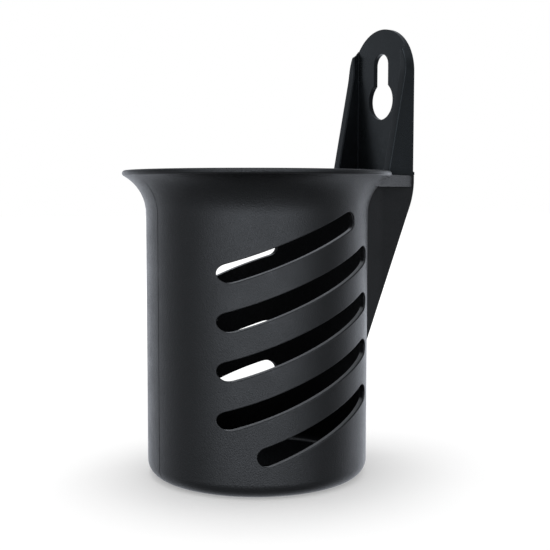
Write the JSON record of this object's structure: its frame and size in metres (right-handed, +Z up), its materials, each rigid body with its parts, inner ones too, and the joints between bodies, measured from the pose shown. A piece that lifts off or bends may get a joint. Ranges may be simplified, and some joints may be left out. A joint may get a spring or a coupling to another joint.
{
  "type": "hanging cup holder",
  "caption": "Slotted flared cup with a rear shelf, side webs and a keyhole hanger plate that drops over a wall or clamp stud.",
  "frame": {"origin": "centre of the underside of the cup, on the flat base", "axes": "+Z up along the cup's axis, +Y from the cup towards the hanger plate and the wall or stud behind it, +X to the right seen from the front"},
  "size_m": [0.1016, 0.1129, 0.1733],
  "materials": {
    "cup_plastic": "near-black injection-moulded plastic with a fine spark-eroded grain",
    "hanger_plastic": "near-black injection-moulded plastic, smoother than the cup",
    "screw_steel": "black zinc-plated steel"
  },
  "bodies": {
    "root": {"cup_body": "cup_plastic", "hanger_plate": "hanger_plastic", "hanger_screw_left": "screw_steel", "hanger_screw_right": "screw_steel"}
  },
  "joints": []
}
